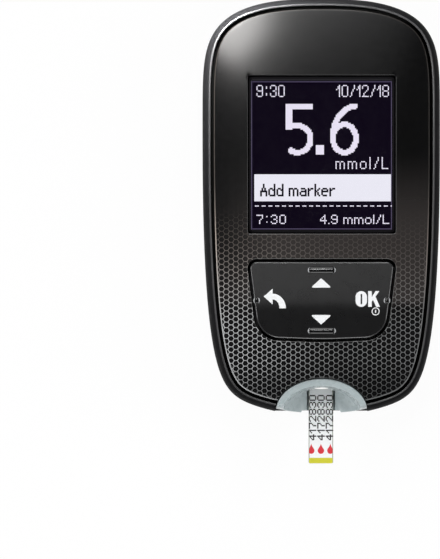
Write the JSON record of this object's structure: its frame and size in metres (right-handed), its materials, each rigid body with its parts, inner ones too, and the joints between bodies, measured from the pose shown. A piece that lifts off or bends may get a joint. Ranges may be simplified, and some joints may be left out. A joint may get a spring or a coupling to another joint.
{
  "type": "blood glucose meter",
  "caption": "Hand-held blood glucose meter with a display, a rocking key pad, a test strip in its lit port, a side ejector and a hinged battery door.",
  "frame": {"origin": "centre of the footprint on the plane of the flat back, with the test strip included", "axes": "+Z out of the display, +Y towards the top end, +X to the right when the display is read"},
  "size_m": [0.046, 0.09, 0.0198],
  "materials": {
    "shell_black": "satin black moulded plastic",
    "back_black": "fine-grained black moulded plastic",
    "face_gloss": "high gloss black with a printed honeycomb",
    "window_clear": "clear polished acrylic",
    "screen": "lit display with pale figures on dark violet",
    "white_plastic": "white moulded plastic",
    "flex_amber": "amber film",
    "pad_black": "satin dark grey with white printed symbols",
    "silicone": "grey silicone rubber",
    "steel": "bright steel",
    "board_green": "green solder resist",
    "chip_black": "black moulded packages",
    "contact_gold": "gold-plated spring contacts",
    "port_grey": "translucent blue-grey plastic",
    "light_white": "clear light pipe, lit",
    "strip_white": "white printed film with a yellow end",
    "cell_steel": "bright nickel-plated can"
  },
  "bodies": {
    "housing": {"front_cover": "shell_black", "rear_cover": "back_black", "face_plate": "face_gloss", "display_window": "window_clear", "lcd_glass": "screen", "lcd_backlight": "white_plastic", "lcd_frame": "white_plastic", "lcd_flex": "flex_amber", "key_mat": "silicone", "dome_switches": "steel", "main_board": "board_green", "board_chips": "chip_black", "buzzer": "chip_black", "strip_connector": "chip_black", "strip_contacts": "contact_gold", "port_bezel": "port_grey", "port_light": "light_white", "lever_pin": "steel", "ejector_spring": "steel", "battery_cell_upper": "cell_steel", "battery_cell_lower": "cell_steel", "battery_contacts": "contact_gold", "usb_socket": "steel", "cover_screws": "steel"},
    "pad_rocker": {"pad_pivot": "white_plastic"},
    "key_pad": {"keypad": "pad_black"},
    "ejector_key": {"ejector_button": "shell_black"},
    "ejector_crank": {"ejector_lever": "white_plastic"},
    "strip": {"test_strip": "strip_white"},
    "door": {"battery_door": "back_black"}
  },
  "joints": [
    {"name": "pad_tilt_up_down", "type": "hinge", "parent": "housing", "child": "pad_rocker", "pos_m": [0, -0.01333, 0.0159], "axis": [1, 0, 0], "range_deg": [-3, 3], "stiffness_Nm_per_rad": 0.6},
    {"name": "pad_tilt_left_right", "type": "hinge", "parent": "pad_rocker", "child": "key_pad", "pos_m": [0, -0.01333, 0.0159], "axis": [0, 1, 0], "range_deg": [-1.8, 1.8], "stiffness_Nm_per_rad": 1.2},
    {"name": "ejector_press", "type": "slide", "parent": "housing", "child": "ejector_key", "axis": [-1, 0, 0], "range_m": [0, 0.00236], "stiffness_N_per_m": 150, "deforming": ["ejector_spring"]},
    {"name": "ejector_lever_turn", "type": "hinge", "parent": "housing", "child": "ejector_crank", "pos_m": [0.0123, -0.02128, 0.0079], "axis": [0, 0, 1], "range_deg": [0, 30.05]},
    {"name": "strip_slide", "type": "slide", "parent": "housing", "child": "strip", "axis": [0, -1, 0], "range_m": [0, 0.00645]},
    {"name": "battery_door_swing", "type": "hinge", "parent": "housing", "child": "door", "pos_m": [0, 0.03325, 0.0009], "axis": [1, 0, 0], "range_deg": [0, 100]}
  ],
  "couplings": [
    {"joint": "ejector_lever_turn", "follows": "ejector_press", "rad_per_m": 222.22},
    {"joint": "strip_slide", "follows": "ejector_press", "ratio": 2.7333}
  ]
}
